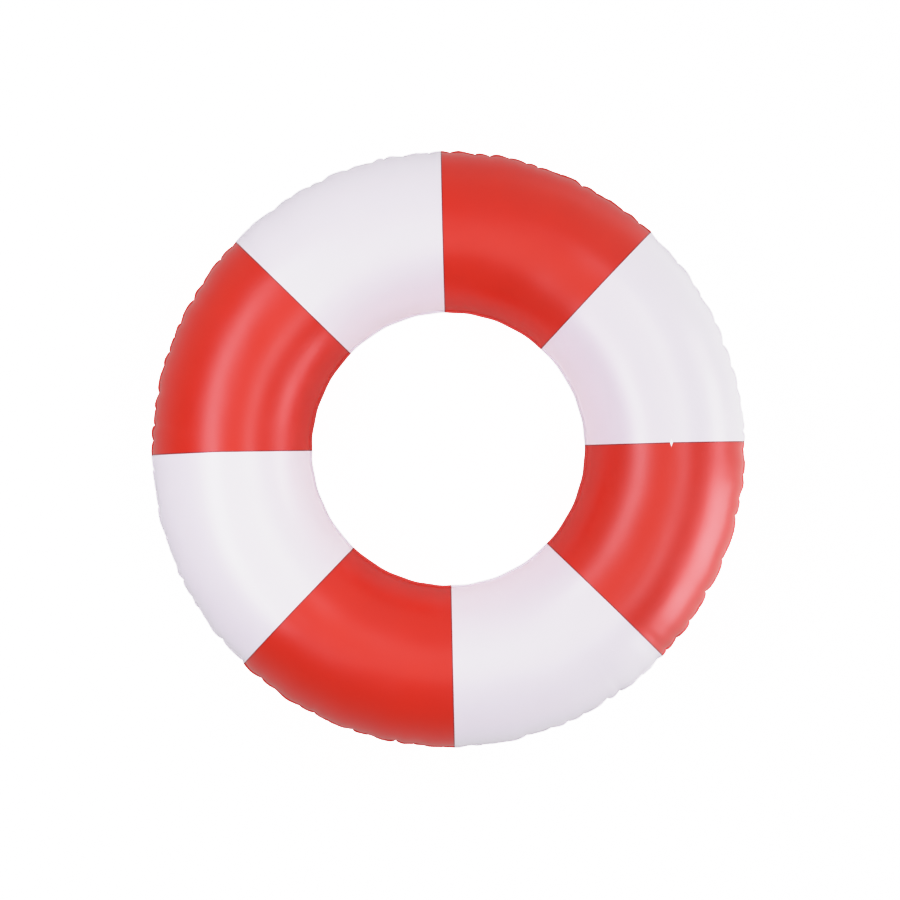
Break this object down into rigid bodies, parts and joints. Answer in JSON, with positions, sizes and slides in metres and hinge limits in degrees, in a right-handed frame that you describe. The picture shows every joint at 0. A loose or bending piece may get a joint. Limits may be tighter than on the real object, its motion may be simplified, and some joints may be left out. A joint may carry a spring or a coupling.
{
  "type": "inflatable swim ring",
  "caption": "Inflatable ring lifebuoy: puckered, welded film tube in red and white segments round an open hole, with push-in valves on the back.",
  "frame": {"origin": "on the ring's axis, level with the flat on the back film that it rests on", "axes": "+Z along the ring's axis, out of the printed front; +Y to the top of the front as it is usually shown"},
  "size_m": [0.7398, 0.7398, 0.1918],
  "materials": {
    "printed_film": "satin",
    "divider_film": "satin",
    "valve_moulding": "satin",
    "valve_film": "satin"
  },
  "bodies": {
    "root": {"front_panel": "printed_film", "back_panel": "printed_film", "chamber_divider": "divider_film", "main_valve_flange": "valve_moulding", "main_valve_skirt": "valve_film", "safety_valve_flange": "valve_moulding", "safety_valve_skirt": "valve_film"},
    "main_valve_stem": {"main_valve_stem": "valve_moulding", "main_valve_tether": "valve_moulding"},
    "main_valve_plug": {"main_valve_plug": "valve_moulding"},
    "main_valve_flap": {"main_valve_flap": "valve_film"},
    "safety_valve_stem": {"safety_valve_stem": "valve_moulding", "safety_valve_tether": "valve_moulding"},
    "safety_valve_plug": {"safety_valve_plug": "valve_moulding"},
    "safety_valve_flap": {"safety_valve_flap": "valve_film"}
  },
  "joints": [
    {"name": "main_valve_stem_slide", "type": "slide", "parent": "root", "child": "main_valve_stem", "axis": [0.2265, -0.7215, -0.6543], "range_m": [0, 0.014], "deforming": ["main_valve_skirt"]},
    {"name": "main_valve_plug_hinge", "type": "hinge", "parent": "main_valve_stem", "child": "main_valve_plug", "pos_m": [0.10405, -0.33139, 0.04099], "axis": [-0.9541, -0.2996, 0], "range_deg": [0, 135]},
    {"name": "main_valve_flap_hinge", "type": "hinge", "parent": "main_valve_stem", "child": "main_valve_flap", "pos_m": [0.09939, -0.31656, 0.04716], "axis": [0.9541, 0.2996, 0], "range_deg": [0, 70], "stiffness_Nm_per_rad": 0.0001},
    {"name": "safety_valve_stem_slide", "type": "slide", "parent": "root", "child": "safety_valve_stem", "axis": [-0.3814, 0.653, -0.6543], "range_m": [0, 0.014], "deforming": ["safety_valve_skirt"]},
    {"name": "safety_valve_plug_hinge", "type": "hinge", "parent": "safety_valve_stem", "child": "safety_valve_plug", "pos_m": [0.09598, -0.16433, 0.04099], "axis": [0.8635, 0.5044, 0], "range_deg": [0, 135]},
    {"name": "safety_valve_flap_hinge", "type": "hinge", "parent": "safety_valve_stem", "child": "safety_valve_flap", "pos_m": [0.10382, -0.17775, 0.04716], "axis": [-0.8635, -0.5044, 0], "range_deg": [0, 70], "stiffness_Nm_per_rad": 0.0001}
  ]
}
